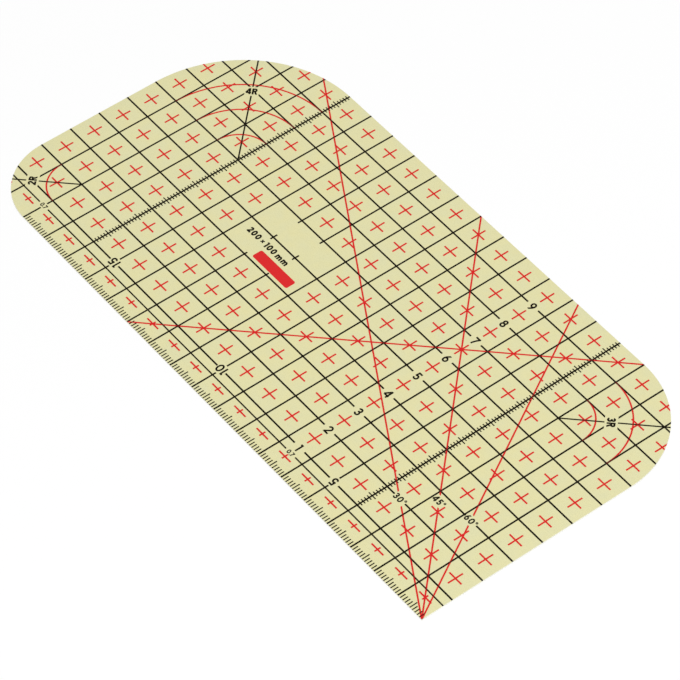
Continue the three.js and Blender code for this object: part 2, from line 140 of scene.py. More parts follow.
@dataclass(frozen=True)
class BondedPolyesterFinish:
    """Non-woven polyester soaked in resin and calendered between rolls.

    It gives the eye a dense, matte, pale straw sheet that is a little warmer where the resin pools
    and a little greener where the fibres lie thick, with a grain too even to glint. The fibres are
    0.02 mm thick, which no picture of the whole sheet resolves, so they are drawn as 0.3 mm flecks.
    The cut edge shows the pale ends of the fibres.

    A range of noise is the stretch of its values that takes a pattern from one end to the other.
    """

    pooled_resin: str = "#E5DFA9"
    dense_fibre: str = "#E1DEAF"
    cut_fibre: str = "#EEEDE2"
    pool_size: float = 4 * MM
    pool_detail: float = 3.0
    pool_range: tuple[float, float] = (0.35, 0.65)
    roll_band: float = 45 * MM
    roll_detail: float = 1.0
    roll_share: float = 0.35
    fleck_size: float = 0.3 * MM
    fleck_stretch: float = 5.0
    fleck_angles: tuple[float, float] = (math.radians(25), math.radians(-50))
    fleck_detail: float = 2.0
    fleck_range: tuple[float, float] = (0.3, 0.7)
    fleck_shade: float = 0.955
    roughness: tuple[float, float] = (0.6, 0.78)
    specular: float = 0.3
    grain_depth: float = 0.02 * MM
    grain_strength: float = 0.25

    def material(self, edge_mask: str) -> bpy.types.Material:
        """Builds the sheet's material.

        Args:
            edge_mask: Point attribute that is 1 on the die-cut edge and 0 on the faces.

        Returns:
            The finished material.
        """
        material, tree = new_material("resin_bonded_polyester")
        place = add_node(tree, "ShaderNodeTexCoord").outputs["Object"]
        flecks = self._flecks(tree, place)
        felt = self._felt(tree, place, flecks)
        cut = add_node(tree, "ShaderNodeAttribute", {"attribute_name": edge_mask})
        colour = add_node(
            tree,
            "ShaderNodeMix",
            {"data_type": "RGBA"},
            {MIX_FACTOR: cut.outputs["Fac"], MIX_A: felt, MIX_B: linear(self.cut_fibre)},
        )
        roughness = add_node(
            tree,
            "ShaderNodeMapRange",
            inputs={"Value": flecks, "To Min": self.roughness[0], "To Max": self.roughness[1]},
        )
        relief = add_node(
            tree,
            "ShaderNodeBump",
            inputs={
                "Strength": self.grain_strength,
                "Distance": self.grain_depth,
                "Height": flecks,
            },
        )
        surface = add_node(
            tree,
            "ShaderNodeBsdfPrincipled",
            inputs={
                "Base Color": colour.outputs[MIX_RESULT],
                "Roughness": roughness.outputs[0],
                "Specular IOR Level": self.specular,
                "Normal": relief.outputs["Normal"],
            },
        )
        add_node(tree, "ShaderNodeOutputMaterial", inputs={"Surface": surface.outputs["BSDF"]})
        return material

    def _felt(
        self,
        tree: bpy.types.NodeTree,
        place: bpy.types.NodeSocket,
        flecks: bpy.types.NodeSocket,
    ) -> bpy.types.NodeSocket:
        """Colour of the faces: dense fibre and pooled resin in blotches, shaded by the flecks.

        Args:
            tree: Tree that takes the nodes.
            place: Object coordinates.
            flecks: The fibre flecks, around one half.

        Returns:
            The colour.
        """
        pools = add_node(
            tree,
            "ShaderNodeTexNoise",
            inputs={
                "Vector": place,
                "Scale": noise_size(self.pool_size),
                "Detail": self.pool_detail,
            },
        )
        bands = add_node(
            tree,
            "ShaderNodeTexNoise",
            inputs={
                "Vector": place,
                "Scale": noise_size(self.roll_band),
                "Detail": self.roll_detail,
            },
        )
        blotches = add_node(
            tree,
            "ShaderNodeMix",
            {"data_type": "FLOAT"},
            {
                MIX_FACTOR: self.roll_share,
                MIX_FLOAT_A: pools.outputs["Fac"],
                MIX_FLOAT_B: bands.outputs["Fac"],
            },
        )
        resin = add_node(
            tree,
            "ShaderNodeMapRange",
            inputs={
                "Value": blotches.outputs[MIX_FLOAT_RESULT],
                "From Min": self.pool_range[0],
                "From Max": self.pool_range[1],
            },
        )
        blotched = add_node(
            tree,
            "ShaderNodeMix",
            {"data_type": "RGBA"},
            {
                MIX_FACTOR: resin.outputs[0],
                MIX_A: linear(self.dense_fibre),
                MIX_B: linear(self.pooled_resin),
            },
        )
        shade = add_node(
            tree,
            "ShaderNodeMapRange",
            inputs={
                "Value": flecks,
                "From Min": self.fleck_range[0],
                "From Max": self.fleck_range[1],
                "To Min": self.fleck_shade,
            },
        )
        return add_node(
            tree,
            "ShaderNodeMix",
            {"data_type": "RGBA", "blend_type": "MULTIPLY"},
            {MIX_FACTOR: 1.0, MIX_A: blotched.outputs[MIX_RESULT], MIX_B: shade.outputs[0]},
        ).outputs[MIX_RESULT]

    def _flecks(
        self, tree: bpy.types.NodeTree, place: bpy.types.NodeSocket
    ) -> bpy.types.NodeSocket:
        """Fibre flecks: the mean of two noises, each stretched along its own direction.

        Args:
            tree: Tree that takes the nodes.
            place: Object coordinates.

        Returns:
            A value around one half.
        """
        layers = []
        for angle in self.fleck_angles:
            turned = add_node(
                tree,
                "ShaderNodeMapping",
                inputs={
                    "Vector": place,
                    "Rotation": (0.0, 0.0, angle),
                    "Scale": (1 / self.fleck_stretch, 1.0, 1.0),
                },
            )
            layers.append(
                add_node(
                    tree,
                    "ShaderNodeTexNoise",
                    inputs={
                        "Vector": turned.outputs[0],
                        "Scale": noise_size(self.fleck_size),
                        "Detail": self.fleck_detail,
                    },
                ).outputs["Fac"]
            )
        return add_node(
            tree,
            "ShaderNodeMix",
            {"data_type": "FLOAT"},
            {MIX_FACTOR: 0.5, MIX_FLOAT_A: layers[0], MIX_FLOAT_B: layers[1]},
        ).outputs[MIX_FLOAT_RESULT]


@dataclass(frozen=True)
class BlackScreenInk:
    """Carbon-black screen ink, baked on.

    It gives the eye a dull, nearly neutral black with a breath of brown, a little lighter where the
    coat is thin over a fibre. The mesh of the screen is 0.08 mm, drawn as 0.25 mm blotches.
    """

    full_coat: str = "#0D0A03"
    thin_coat: str = "#1B160A"
    blotch_size: float = 0.25 * MM
    blotch_detail: float = 2.0
    roughness: float = 0.75
    specular: float = 0.06

    def material(self) -> bpy.types.Material:
        """Builds the ink's material.

        Returns:
            The finished material.
        """
        material, tree = new_material("black_screen_ink")
        place = add_node(tree, "ShaderNodeTexCoord").outputs["Object"]
        coat = add_node(
            tree,
            "ShaderNodeTexNoise",
            inputs={
                "Vector": place,
                "Scale": noise_size(self.blotch_size),
                "Detail": self.blotch_detail,
            },
        )
        colour = add_node(
            tree,
            "ShaderNodeMix",
            {"data_type": "RGBA"},
            {
                MIX_FACTOR: coat.outputs["Fac"],
                MIX_A: linear(self.full_coat),
                MIX_B: linear(self.thin_coat),
            },
        )
        surface = add_node(
            tree,
            "ShaderNodeBsdfPrincipled",
            inputs={
                "Base Color": colour.outputs[MIX_RESULT],
                "Roughness": self.roughness,
                "Specular IOR Level": self.specular,
            },
        )
        add_node(tree, "ShaderNodeOutputMaterial", inputs={"Surface": surface.outputs["BSDF"]})
        return material


@dataclass(frozen=True)
class Corner:
    """Round corner of the sheet: its side along X and along Y, and its radius."""

    side: tuple[int, int]
    radius: float


@dataclass(frozen=True)
class Outline:
    """Outline of the sheet: a rectangle with one square corner and three round ones."""

    half: tuple[float, float] = (100 * MM, 50 * MM)
    corners: tuple[Corner, ...] = (
        Corner((1, 1), 30 * MM),
        Corner((-1, 1), 40 * MM),
        Corner((-1, -1), 20 * MM),
    )
    corner_steps: int = 72
    side_steps: int = 24

    def centre(self, corner: Corner) -> tuple[float, float]:
        """Centre of a round corner's curve."""
        return tuple(s * (h - corner.radius) for s, h in zip(corner.side, self.half))

    def ring(self) -> tuple[np.ndarray, np.ndarray]:
        """The outline as points with outward directions, anticlockwise from the square corner.

        A round corner is its centre plus the radius times the direction, whose angle runs over a
        quarter turn. The square corner's direction is its mitre. Sides are the straight lines
        between.

        Returns:
            Points and directions, one row each.
        """
        square = np.array([[self.half[0], -self.half[1]]])
        places, directions = [square], [np.array([[1.0, -1.0]])]
        for quarter, corner in enumerate(self.corners):
            angle = np.linspace(quarter, quarter + 1, self.corner_steps + 1) * math.pi / 2
            outward = np.column_stack([np.cos(angle), np.sin(angle)])
            arc = np.array(self.centre(corner)) + corner.radius * outward
            self._side(places, directions, arc[0], outward[0])
            places.append(arc)
            directions.append(outward)
        self._side(places, directions, square[0], np.array([0.0, -1.0]))
        return np.concatenate(places), np.concatenate(directions)

    def _side(
        self,
        places: list[np.ndarray],
        directions: list[np.ndarray],
        end: np.ndarray,
        outward: np.ndarray,
    ) -> None:
        """Adds the inner points of a straight side, evenly spaced from the last point to its end.

        Args:
            places: Points so far.
            directions: Outward directions so far.
            end: Where the side ends.
            outward: The side's direction.
        """
        share = np.linspace(0, 1, self.side_steps + 1)[1:-1, None]
        places.append(places[-1][-1] * (1 - share) + end * share)
        directions.append(np.repeat(outward[None], len(share), axis=0))

    def limit(self, axis: int, side: int, across: np.ndarray) -> np.ndarray:
        """How far the sheet reaches along an axis, on one side.

        It is the straight side, or beside a round corner the corner's centre plus the root of the
        radius squared less the square of the distance past the centre.

        Args:
            axis: 0 for X and 1 for Y.
            side: 1 or -1 for the end of the axis.
            across: Places on the other axis.

        Returns:
            The outline's coordinate on the axis at each place.
        """
        reach = np.full(across.shape, self.half[axis])
        for corner in self.corners:
            if corner.side[axis] != side:
                continue
            past = corner.side[1 - axis] * across - (self.half[1 - axis] - corner.radius)
            bow = np.sqrt(np.clip(corner.radius**2 - past**2, 0, None))
            reach = np.where(past > 0, self.half[axis] - corner.radius + bow, reach)
        return side * reach


@dataclass(frozen=True)
class BlackRules:
    """Sizes of the black lines and ticks: half of each width, and where each lies and ends.

    The pitch of the lines and the spacing of the longer ticks are counts of millimetre steps.
    """

    pitch: int = 10
    line: float = 0.26 * MM
    hem_line: float = 0.22 * MM
    hem_place: float = -43 * MM
    diagonal: float = 0.225 * MM
    tick: float = 0.175 * MM
    ticks_per_long: int = 5
    ladder_place: float = 60 * MM
    ladder_foot: float = -39.5 * MM
    ladder_reach: tuple[float, float] = (0.92 * MM, 1.45 * MM)
    edge_reach: tuple[float, float] = (1.8 * MM, 2.5 * MM)


@dataclass(frozen=True)
class RedScreenInk:
    """Azo-red screen ink, printed last and baked on.

    It gives the eye a clear warm red on the sheet and a dark maroon over black print, because the
    coat is thin. The material works out from the place where the black lines lie below, and none
    of them runs in the margin along the outline. Without their rules it is the ink of an area that
    has no black print below.
    """

    outline: Outline
    rules: BlackRules | None
    name: str = "red_screen_ink"
    full_coat: str = "#DD1C22"
    thin_coat: str = "#D52C29"
    over_black: str = "#641A15"
    blotch_size: float = 0.4 * MM
    blotch_detail: float = 2.0
    roughness: float = 0.7
    specular: float = 0.08
    margin: float = 0.5 * MM

    def material(self) -> bpy.types.Material:
        """Builds the ink's material.

        Returns:
            The finished material.
        """
        material, tree = new_material(self.name)
        place = add_node(tree, "ShaderNodeTexCoord").outputs["Object"]
        coat = add_node(
            tree,
            "ShaderNodeTexNoise",
            inputs={
                "Vector": place,
                "Scale": noise_size(self.blotch_size),
                "Detail": self.blotch_detail,
            },
        )
        colour = add_node(
            tree,
            "ShaderNodeMix",
            {"data_type": "RGBA"},
            {
                MIX_FACTOR: coat.outputs["Fac"],
                MIX_A: linear(self.full_coat),
                MIX_B: linear(self.thin_coat),
            },
        ).outputs[MIX_RESULT]
        if self.rules is not None:
            colour = add_node(
                tree,
                "ShaderNodeMix",
                {"data_type": "RGBA"},
                {
                    MIX_FACTOR: self._black_below(tree, place),
                    MIX_A: colour,
                    MIX_B: linear(self.over_black),
                },
            ).outputs[MIX_RESULT]
        surface = add_node(
            tree,
            "ShaderNodeBsdfPrincipled",
            inputs={
                "Base Color": colour,
                "Roughness": self.roughness,
                "Specular IOR Level": self.specular,
            },
        )
        add_node(tree, "ShaderNodeOutputMaterial", inputs={"Surface": surface.outputs["BSDF"]})
        return material

    def _black_below(
        self, tree: bpy.types.NodeTree, place: bpy.types.NodeSocket
    ) -> bpy.types.NodeSocket:
        """1 where black print lies below, and 0 elsewhere.

        A place wrapped into one step and made positive is its distance from the nearest line or
        tick of that step. Each rule holds where all its values stay below their limits.

        Args:
            tree: Tree that takes the nodes.
            place: Object coordinates.

        Returns:
            The greatest of all the rules.
        """
        x, y, _ = add_node(tree, "ShaderNodeSeparateXYZ", inputs={0: place}).outputs
        size = add_node(
            tree, "ShaderNodeVectorMath", {"operation": "ABSOLUTE"}, {0: place}
        ).outputs[0]
        far_x, far_y, _ = add_node(tree, "ShaderNodeSeparateXYZ", inputs={0: size}).outputs
        low = add_node(
            tree, "ShaderNodeMath", {"operation": "MULTIPLY"}, {0: y, 1: -1.0}
        ).outputs[0]
        black = self.rules
        steps = (1, black.ticks_per_long, black.pitch)
        near = {step: self._nearest(tree, place, step * MM) for step in steps}
        from_ladder = self._distance(tree, far_x, black.ladder_place)
        from_hem = self._distance(tree, y, black.hem_place)
        # No centimetre line runs along the outline itself
        inside = [half - self.margin for half in self.outline.half]
        rules = [
            [(near[black.pitch][0], black.line), (far_x, inside[0])],
            [(near[black.pitch][1], black.line), (far_y, inside[1])],
            [(from_hem, black.hem_line)],
        ]
        edge = -self.outline.half[1]
        above_foot = (low, -black.ladder_foot)
        for step, ladder_reach, edge_reach in zip(steps, black.ladder_reach, black.edge_reach):
            rules.append([(from_ladder, ladder_reach), (near[step][1], black.tick), above_foot])
            rules.append([(y, edge + edge_reach), (near[step][0], black.tick)])
        rules += [self._diagonal_rule(tree, place, corner) for corner in self.outline.corners]
        masks = [self._all_below(tree, rule) for rule in rules]
        while len(masks) > 1:
            pair = {0: masks.pop(0), 1: masks.pop(0)}
            greater = add_node(tree, "ShaderNodeMath", {"operation": "MAXIMUM"}, pair)
            masks.append(greater.outputs[0])
        return masks[0]

    def _distance(
        self, tree: bpy.types.NodeTree, value: bpy.types.NodeSocket, mark: float
    ) -> bpy.types.NodeSocket:
        """Distance of a value from a mark, on either side of it.

        Args:
            tree: Tree that takes the nodes.
            value: A coordinate.
            mark: Where the distance is nought.

        Returns:
            The distance.
        """
        past = add_node(tree, "ShaderNodeMath", {"operation": "SUBTRACT"}, {0: value, 1: mark})
        return add_node(
            tree, "ShaderNodeMath", {"operation": "ABSOLUTE"}, {0: past.outputs[0]}
        ).outputs[0]

    def _nearest(
        self, tree: bpy.types.NodeTree, place: bpy.types.NodeSocket, step: float
    ) -> tuple[bpy.types.NodeSocket, bpy.types.NodeSocket]:
        """Distances along X and along Y from the nearest multiple of a step.

        Args:
            tree: Tree that takes the nodes.
            place: Object coordinates.
            step: Distance between lines.

        Returns:
            The two distances.
        """
        half = (step / 2,) * 3
        wrapped = add_node(
            tree,
            "ShaderNodeVectorMath",
            {"operation": "WRAP"},
            {0: place, 1: half, 2: tuple(-h for h in half)},
        )
        distance = add_node(
            tree, "ShaderNodeVectorMath", {"operation": "ABSOLUTE"}, {0: wrapped.outputs[0]}
        )
        x, y, _ = add_node(tree, "ShaderNodeSeparateXYZ", inputs={0: distance.outputs[0]}).outputs
        return x, y

    def _diagonal_rule(
        self, tree: bpy.types.NodeTree, place: bpy.types.NodeSocket, corner: Corner
    ) -> list[tuple[bpy.types.NodeSocket, float]]:
        """Rule of the diagonal that runs from a round corner's centre to its outline.

        The place less the centre, times the diagonal's normal, is the distance from the diagonal,
        and times the inward direction it is below zero beyond the centre.

        Args:
            tree: Tree that takes the nodes.
            place: Object coordinates.
            corner: The round corner.

        Returns:
            Values and their limits.
        """
        from_centre = add_node(
            tree,
            "ShaderNodeVectorMath",
            {"operation": "SUBTRACT"},
            {0: place, 1: (*self.outline.centre(corner), 0.0)},
        ).outputs[0]
        x, y = (s / math.sqrt(2) for s in corner.side)
        sideways, inward = (
            add_node(
                tree,
                "ShaderNodeVectorMath",
                {"operation": "DOT_PRODUCT"},
                {0: from_centre, 1: direction},
            ).outputs["Value"]
            for direction in ((y, -x, 0.0), (-x, -y, 0.0))
        )
        distance = add_node(tree, "ShaderNodeMath", {"operation": "ABSOLUTE"}, {0: sideways})
        return [(distance.outputs[0], self.rules.diagonal), (inward, 0.0)]

    def _all_below(
        self, tree: bpy.types.NodeTree, rule: Sequence[tuple[bpy.types.NodeSocket, float]]
    ) -> bpy.types.NodeSocket:
        """1 where each value is below its limit, and 0 elsewhere.

        Args:
            tree: Tree that takes the nodes.
            rule: Values and their limits.

        Returns:
            The least of the comparisons.
        """
        held = [
            add_node(
                tree, "ShaderNodeMath", {"operation": "LESS_THAN"}, {0: value, 1: limit}
            ).outputs[0]
            for value, limit in rule
        ]
        mask = held[0]
        for other in held[1:]:
            mask = add_node(
                tree, "ShaderNodeMath", {"operation": "MINIMUM"}, {0: mask, 1: other}
            ).outputs[0]
        return mask


@dataclass
class Shell:
    """Points and faces of a surface that is being put together."""

    points: np.ndarray
    faces: np.ndarray

    def joined(self, other: "Shell") -> "Shell":
        """Both surfaces as one, the other's points numbered after these."""
        faces = np.concatenate([self.faces, other.faces + len(self.points)])
        return Shell(np.concatenate([self.points, other.points]), faces)

    def piece(self, name: str) -> bpy.types.Object:
        """Makes the surface an object of the scene.

        Args:
            name: Name of the piece.

        Returns:
            The object, at the origin.
        """
        mesh = bpy.data.meshes.new(name)
        mesh.from_pydata(self.points.tolist(), [], self.faces.tolist())
        mesh.validate()
        piece = bpy.data.objects.new(name, mesh)
        bpy.context.scene.collection.objects.link(piece)
        return piece


def ink_film(outlines: np.ndarray, quads: np.ndarray, low: float, high: float) -> Shell:
    """Closed films of ink: each outline at two heights, its quads on both, and a quad per wall.

    Args:
        outlines: Corner points of each film, anticlockwise, films by points by two.
        quads: Faces that fill one outline, as numbers of its points.
        low: Height of the underside.
        high: Height of the upper side.

    Returns:
        All films as one surface.
    """
    films, count, _ = outlines.shape
    flat = outlines.reshape(-1, 2)
    upper = len(flat)
    points = np.concatenate([np.insert(flat, 2, height, axis=1) for height in (low, high)])
    here = np.arange(count)
    after = np.roll(here, -1)
    walls = np.column_stack([here, after, after + upper, here + upper])
    faces = np.concatenate([quads + upper, quads[:, ::-1], walls])
    start = (np.arange(films) * count)[:, None, None]
    return Shell(points, (faces[None] + start).reshape(-1, 4))


def dressed(piece: bpy.types.Object, ink: bpy.types.Material) -> bpy.types.Object:
    """Gives a new piece its ink and ties it to the ruler.

    Args:
        piece: The piece, in place.
        ink: Its material.

    Returns:
        The same piece.
    """
    piece.data.materials.append(ink)
    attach(piece, BODY)
    LOG.info("%s: %d faces", piece.name, len(piece.data.polygons))
    return piece


@dataclass
class DieCutSheet:
    """The sheet, cut with a steel rule die: a crisp upper edge and a slightly rolled lower one."""

    outline: Outline
    finish: BondedPolyesterFinish = BondedPolyesterFinish()
    upper_roll: float = 0.03 * MM
    lower_roll: float = 0.09 * MM
    roll_steps: int = 5
    face_rings: tuple[float, ...] = (0.25, 0.5, 0.75, 0.93)
    edge_mask: str = "cut_edge"
    crease: float = math.radians(50)

    def profile(self, thickness: float) -> tuple[np.ndarray, np.ndarray]:
        """Section of the rim from the upper face down to the lower one.

        Each roll is a quarter circle: inset = r (1 - sin a) and drop = r (1 - cos a), with a from 0
        to a quarter turn, and the lower one is the same upside down.

        Args:
            thickness: Thickness of the sheet.

        Returns:
            Inset from the outline and height of each point of the section.
        """
        angle = np.linspace(0, math.pi / 2, self.roll_steps)
        upper, lower = self.upper_roll, self.lower_roll
        inset = np.concatenate([upper * (1 - np.sin(angle)), lower * (1 - np.sin(angle[::-1]))])
        height = np.concatenate(
            [thickness - upper * (1 - np.cos(angle)), lower * (1 - np.cos(angle[::-1]))]
        )
        return inset, height

    def _faces(self, ring_count: int, ring_size: int) -> list[list[int]]:
        """Quads between each ring and the next, and a fan from each end ring to its pole.

        The poles are the two points after the last ring, the upper one first.

        Args:
            ring_count: Number of rings, from the middle of the upper face to that of the lower one.
            ring_size: Points in a ring.

        Returns:
            Each face as numbers of points.
        """
        here = np.arange(ring_size)
        after = np.roll(here, -1)
        start = (np.arange(ring_count - 1) * ring_size)[:, None]
        below = start + ring_size
        quads = np.dstack([start + here, below + here, below + after, start + after])
        last = (ring_count - 1) * ring_size
        top_pole = np.full(ring_size, ring_count * ring_size)
        top_fan = np.column_stack([top_pole, here, after])
        bottom_fan = np.column_stack([top_pole + 1, last + after, last + here])
        return quads.reshape(-1, 4).tolist() + top_fan.tolist() + bottom_fan.tolist()

    def build(self) -> bpy.types.Object:
        """Carries the rim's section round the outline and closes both faces.

        The faces are the rim's first and last rings drawn in towards the middle of the sheet by
        fixed shares, down to one point each.

        Returns:
            The sheet as a piece in place of its CAD node.
        """
        low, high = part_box("base_sheet")
        places, directions = self.outline.ring()
        inset, height = self.profile(high.z - low.z)
        rim = places[None] - inset[:, None, None] * directions[None]
        shares = np.array(self.face_rings)
        upper_face = shares[:, None, None] * rim[0]
        lower_face = shares[::-1, None, None] * rim[-1]
        rings = np.concatenate([upper_face, rim, lower_face])
        heights = np.concatenate(
            [np.full(len(shares), high.z), low.z + height, np.full(len(shares), low.z)]
        )
        ring_count, ring_size, _ = rings.shape
        points = np.dstack([rings, np.repeat(heights[:, None], ring_size, axis=1)]).reshape(-1, 3)
        poles = np.array([[0, 0, high.z], [0, 0, low.z]])
        mesh = bpy.data.meshes.new("bonded_sheet")
        faces = self._faces(ring_count, ring_size)
        mesh.from_pydata(np.concatenate([points, poles]).tolist(), [], faces)
        mesh.shade_smooth()
        mesh.set_sharp_from_angle(angle=self.crease)
        # The cut edge is the rim's rings apart from its first and last, which end the faces
        on_edge = np.zeros(len(mesh.vertices), dtype=np.float32)
        rim_start = len(shares) * ring_size
        rim_end = rim_start + len(inset) * ring_size
        on_edge[rim_start + ring_size : rim_end - ring_size] = 1
        mask = mesh.attributes.new(self.edge_mask, "FLOAT", "POINT")
        mask.data.foreach_set("value", on_edge)
        mesh.materials.append(self.finish.material(self.edge_mask))
        piece = bpy.data.objects.new(mesh.name, mesh)
        bpy.context.scene.collection.objects.link(piece)
        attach(piece, BODY)
        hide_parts("base_sheet")
        LOG.info("%s: %d faces", piece.name, len(mesh.polygons))
        return piece


@dataclass
class CellCrosses:
    """Red cross in the middle of each centimetre cell, cut off where it meets the outline.

    The row between the hem line and the scale edge is lower than a cell, so its crosses sit lower
    and their upright arms are short. The cells of the panel in the middle hold none. The film is
    as thick as two coats, because it covers black lines where a cross meets them.
    """

    outline: Outline
    pitch: float = 10 * MM
    arm: float = 2.5 * MM
    half_width: float = 0.235 * MM
    short_arm: float = 1.0 * MM
    short_row: float = -44.9 * MM
    remnant: float = 0.25 * MM
    panel_x: tuple[float, float] = (-40 * MM, -10 * MM)
    panel_y: tuple[float, float] = (-10 * MM, 10 * MM)
    thickness: float = 2 * INK_COAT

    def centres(self) -> tuple[np.ndarray, np.ndarray]:
        """Middles of the crosses and the length of each one's upright arms.

        Returns:
            Middles, one row each, and arm lengths.
        """
        half_x, half_y = self.outline.half
        x = np.arange(-half_x + self.pitch / 2, half_x, self.pitch)
        y = np.arange(-half_y + self.pitch / 2, half_y, self.pitch)
        upright = np.full(len(y), self.arm)
        y[0], upright[0] = self.short_row, self.short_arm
        grid_x, grid_y = np.meshgrid(x, y)
        arms = np.repeat(upright[:, None], len(x), axis=1)
        in_panel = (
            (self.panel_x[0] < grid_x)
            & (grid_x < self.panel_x[1])
            & (self.panel_y[0] < grid_y)
            & (grid_y < self.panel_y[1])
        )
        keep = self._on_sheet(grid_x, grid_y) & ~in_panel
        return np.column_stack([grid_x[keep], grid_y[keep]]), arms[keep]

    def _on_sheet(self, x: np.ndarray, y: np.ndarray) -> np.ndarray:
        """Test whether points lie inside the outline by more than half a line's width.

        Args:
            x: Places along the sheet.
            y: Places across it.

        Returns:
            True for each point that does.
        """
        inner = self.half_width
        left, right = self.outline.limit(0, -1, y) + inner, self.outline.limit(0, 1, y) - inner
        low, high = self.outline.limit(1, -1, x) + inner, self.outline.limit(1, 1, x) - inner
        return (left < x) & (x < right) & (low < y) & (y < high)

    def crosses(self) -> np.ndarray:
        """Twelve corner points of each cross, anticlockwise from the right arm's lower root.

        Along X a point is the middle plus half a line's width or an arm's length. Along Y it is the
        middle plus so many half widths and so many upright arms. The ends of the upright arms are
        held back to the outline along Y, and all other points along X.

        Returns:
            Crosses by points by two.
        """
        middle, upright = self.centres()
        w, a = self.half_width, self.arm
        shift_x = np.array([w, a, a, w, w, -w, -w, -a, -a, -w, -w, w])
        half_widths = np.array([-1, -1, 1, 1, 0, 0, 1, 1, -1, -1, 0, 0])
        upright_arms = np.array([0, 0, 0, 0, 1, 1, 0, 0, 0, 0, -1, -1])
        x = middle[:, :1] + shift_x
        y = middle[:, 1:] + w * half_widths + upright[:, None] * upright_arms
        held_x = np.clip(x, self.outline.limit(0, -1, y), self.outline.limit(0, 1, y))
        held_y = np.clip(y, self.outline.limit(1, -1, x), self.outline.limit(1, 1, x))
        on_end = upright_arms != 0
        return np.dstack([np.where(on_end, x, held_x), np.where(on_end, held_y, y)])

    def build(self, ink: bpy.types.Material) -> bpy.types.Object:
        """Lays the crosses on the sheet.

        Args:
            ink: Red ink.

        Returns:
            All crosses as one piece.
        """
        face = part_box("base_sheet")[1].z
        arms = np.array([[0, 3, 6, 9], [0, 1, 2, 3], [3, 4, 5, 6], [6, 7, 8, 9], [9, 10, 11, 0]])
        shell = ink_film(self.crosses(), arms, face, face + self.thickness)
        return dressed(shell.joined(self._remnant(face)).piece("cell_crosses"), ink)

    def _remnant(self, face: float) -> Shell:
        """Tip of the one cross whose middle falls outside the outline.

        It runs along the outline and reaches inwards from it by the same length on both sides.

        Args:
            face: Height of the sheet's upper face.

        Returns:
            The tip's film.
        """
        y = self.short_row + self.half_width * np.array([-1, -1, 1, 1])
        x = self.outline.limit(0, -1, y) + self.remnant * np.array([0, 1, 1, 0])
        quad = np.array([[0, 1, 2, 3]])
        return ink_film(np.column_stack([x, y])[None], quad, face, face + self.thickness)


@dataclass
class EdgeTicks:
    """Millimetre ticks along the scale edge, longer at each half centimetre.

    The first and the last are counted in millimetres from the middle of the sheet.
    """

    outline: Outline
    rules: BlackRules
    first: int = -79
    last: int = 99
    thickness: float = INK_COAT

    def build(self, ink: bpy.types.Material) -> bpy.types.Object:
        """Stands a bar of ink on the edge at each millimetre that carries no centimetre line.

        Args:
            ink: Black ink.

        Returns:
            All ticks as one piece.
        """
        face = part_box("base_sheet")[1].z
        count = np.arange(self.first, self.last + 1)
        count = count[count % self.rules.pitch != 0]
        reach, long_reach = self.rules.edge_reach
        reach = np.where(count % self.rules.ticks_per_long == 0, long_reach, reach)
        x = count[:, None] * MM + self.rules.tick * np.array([-1, 1, 1, -1])
        y = -self.outline.half[1] + reach[:, None] * np.array([0, 0, 1, 1])
        quad = np.array([[0, 1, 2, 3]])
        shell = ink_film(np.dstack([x, y]), quad, face, face + self.thickness)
        return dressed(shell.piece("edge_ticks"), ink)


@dataclass
class DecimalPoints:
    """Round decimal points between the two figures of each hem allowance label."""

    labels: tuple[str, ...] = ("allowance_1", "allowance_2")
    radius: float = 0.155 * MM
    sides: int = 12
    thickness: float = INK_COAT

    def build(self, ink: bpy.types.Material) -> bpy.types.Object:
        """Sets a point on the figures' base line, halfway between them.

        Args:
            ink: Black ink.

        Returns:
            The points as one piece.
        """
        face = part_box("base_sheet")[1].z
        middles = []
        for label in self.labels:
            nought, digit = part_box(f"{label}_1"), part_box(f"{label}_2")
            middles.append([(nought[1].x + digit[0].x) / 2, nought[0].y + self.radius])
        angle = np.arange(self.sides) * 2 * math.pi / self.sides
        circle = self.radius * np.column_stack([np.cos(angle), np.sin(angle)])
        outlines = np.array(middles)[:, None] + circle[None]
        # The circle is filled with quads, each between two neighbouring chords
        near = np.arange(self.sides // 2 - 1)
        quads = np.column_stack([near, near + 1, self.sides - 2 - near, self.sides - 1 - near])
        shell = ink_film(outlines, quads, face, face + self.thickness)
        return dressed(shell.piece("decimal_points"), ink)


@dataclass
class PrintedLines:
    """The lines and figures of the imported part, which stay as they are and get real ink."""

    black: bpy.types.Material
    red: bpy.types.Material
    broad_red: bpy.types.Material

    def dress(self) -> None:
        """Puts the ink of each node's slot into its object's material slots."""
        inks = {Slot.BLACK_INK: self.black, Slot.RED_INK: self.red}
        for part in frame["record"]["subparts"]:
            slot = Slot(part["material_slot"])
            if slot is Slot.SHEET:
                continue
            node = frame["nodes"][part["node"]]
            ink = self.broad_red if part["node"] == "panel_bar" else inks[slot]
            for material_slot in node.material_slots:
                material_slot.material = ink
            LOG.info("%s: %s", node.name, ink.name)


@dataclass(frozen=True)
class Softbox:
    """Square soft lamp: its name, where it hangs, the side of its square and its power in watts."""

    name: str
    place: tuple[float, float, float]
    size: float
    power: float


